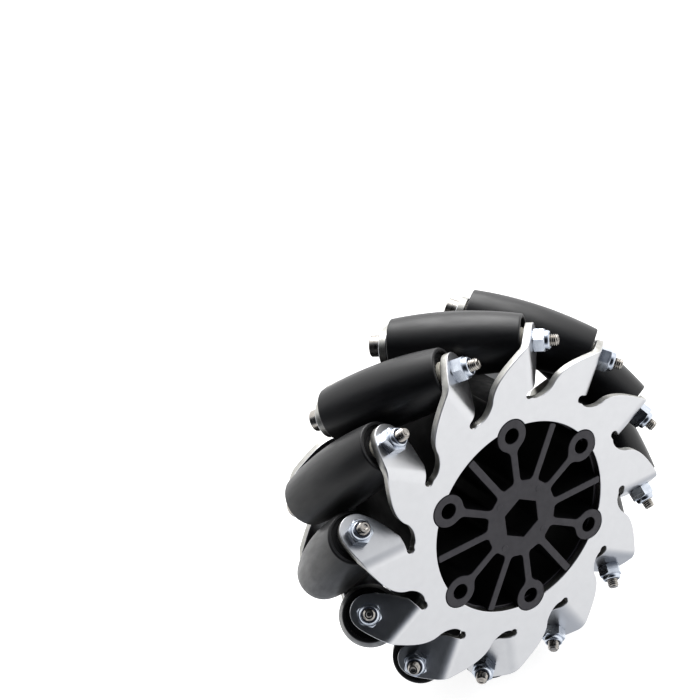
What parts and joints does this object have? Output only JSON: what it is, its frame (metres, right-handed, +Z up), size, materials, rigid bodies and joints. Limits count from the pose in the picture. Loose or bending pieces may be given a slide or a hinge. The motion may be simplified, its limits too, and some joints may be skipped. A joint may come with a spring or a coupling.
{
  "type": "mecanum wheel",
  "caption": "Roller wheel for a robot base: barrel rollers skewed at 45 degrees, carried on screws between two bent-tab side plates round a spoked hub with a hexagonal bore.",
  "frame": {"origin": "centre of the wheel, on its axle line and midway between the side plates", "axes": "+Y along the wheel's axle towards the side with the screw heads, so the lock nuts and the hub's flush spokes face -Y; +Z up through one roller's middle; +X to the right seen from the lock-nut side"},
  "size_m": [0.1016, 0.038, 0.1016],
  "materials": {
    "side_plate": "satin zinc plate on cut and bent sheet",
    "hub": "moulded black nylon, slightly satin",
    "tread": "smooth black rubber",
    "core": "moulded core tube with turned end bushings",
    "screw": "plain stainless steel",
    "nut": "bright zinc plate"
  },
  "bodies": {
    "wheel": {"side_plate_front": "side_plate", "side_plate_back": "side_plate", "hub_core": "hub", "axle_screw_01": "screw", "axle_screw_02": "screw", "axle_screw_03": "screw", "axle_screw_04": "screw", "axle_screw_05": "screw", "axle_screw_06": "screw", "axle_screw_07": "screw", "axle_screw_08": "screw", "axle_screw_09": "screw", "axle_screw_10": "screw", "axle_screw_11": "screw", "axle_screw_12": "screw", "lock_nut_01": "nut", "lock_nut_02": "nut", "lock_nut_03": "nut", "lock_nut_04": "nut", "lock_nut_05": "nut", "lock_nut_06": "nut", "lock_nut_07": "nut", "lock_nut_08": "nut", "lock_nut_09": "nut", "lock_nut_10": "nut", "lock_nut_11": "nut", "lock_nut_12": "nut"},
    "roller_01": {"roller_tread_01": "tread", "roller_core_01": "core"},
    "roller_02": {"roller_tread_02": "tread", "roller_core_02": "core"},
    "roller_03": {"roller_tread_03": "tread", "roller_core_03": "core"},
    "roller_04": {"roller_tread_04": "tread", "roller_core_04": "core"},
    "roller_05": {"roller_tread_05": "tread", "roller_core_05": "core"},
    "roller_06": {"roller_tread_06": "tread", "roller_core_06": "core"},
    "roller_07": {"roller_tread_07": "tread", "roller_core_07": "core"},
    "roller_08": {"roller_tread_08": "tread", "roller_core_08": "core"},
    "roller_09": {"roller_tread_09": "tread", "roller_core_09": "core"},
    "roller_10": {"roller_tread_10": "tread", "roller_core_10": "core"},
    "roller_11": {"roller_tread_11": "tread", "roller_core_11": "core"},
    "roller_12": {"roller_tread_12": "tread", "roller_core_12": "core"}
  },
  "joints": [
    {"name": "roller_spin_01", "type": "hinge", "parent": "wheel", "child": "roller_01", "pos_m": [0, 0, 0.04275], "axis": [-0.7071, 0.7071, 0], "continuous": true},
    {"name": "roller_spin_02", "type": "hinge", "parent": "wheel", "child": "roller_02", "pos_m": [0.02138, 0, 0.03702], "axis": [-0.6124, 0.7071, 0.3536], "continuous": true},
    {"name": "roller_spin_03", "type": "hinge", "parent": "wheel", "child": "roller_03", "pos_m": [0.03702, 0, 0.02138], "axis": [-0.3536, 0.7071, 0.6124], "continuous": true},
    {"name": "roller_spin_04", "type": "hinge", "parent": "wheel", "child": "roller_04", "pos_m": [0.04275, 0, 0], "axis": [0, 0.7071, 0.7071], "continuous": true},
    {"name": "roller_spin_05", "type": "hinge", "parent": "wheel", "child": "roller_05", "pos_m": [0.03702, 0, -0.02138], "axis": [0.3536, 0.7071, 0.6124], "continuous": true},
    {"name": "roller_spin_06", "type": "hinge", "parent": "wheel", "child": "roller_06", "pos_m": [0.02138, 0, -0.03702], "axis": [0.6124, 0.7071, 0.3536], "continuous": true},
    {"name": "roller_spin_07", "type": "hinge", "parent": "wheel", "child": "roller_07", "pos_m": [0, 0, -0.04275], "axis": [0.7071, 0.7071, 0], "continuous": true},
    {"name": "roller_spin_08", "type": "hinge", "parent": "wheel", "child": "roller_08", "pos_m": [-0.02138, 0, -0.03702], "axis": [0.6124, 0.7071, -0.3536], "continuous": true},
    {"name": "roller_spin_09", "type": "hinge", "parent": "wheel", "child": "roller_09", "pos_m": [-0.03702, 0, -0.02138], "axis": [0.3536, 0.7071, -0.6124], "continuous": true},
    {"name": "roller_spin_10", "type": "hinge", "parent": "wheel", "child": "roller_10", "pos_m": [-0.04275, 0, 0], "axis": [0, 0.7071, -0.7071], "continuous": true},
    {"name": "roller_spin_11", "type": "hinge", "parent": "wheel", "child": "roller_11", "pos_m": [-0.03702, 0, 0.02138], "axis": [-0.3536, 0.7071, -0.6124], "continuous": true},
    {"name": "roller_spin_12", "type": "hinge", "parent": "wheel", "child": "roller_12", "pos_m": [-0.02138, 0, 0.03702], "axis": [-0.6124, 0.7071, -0.3536], "continuous": true}
  ]
}
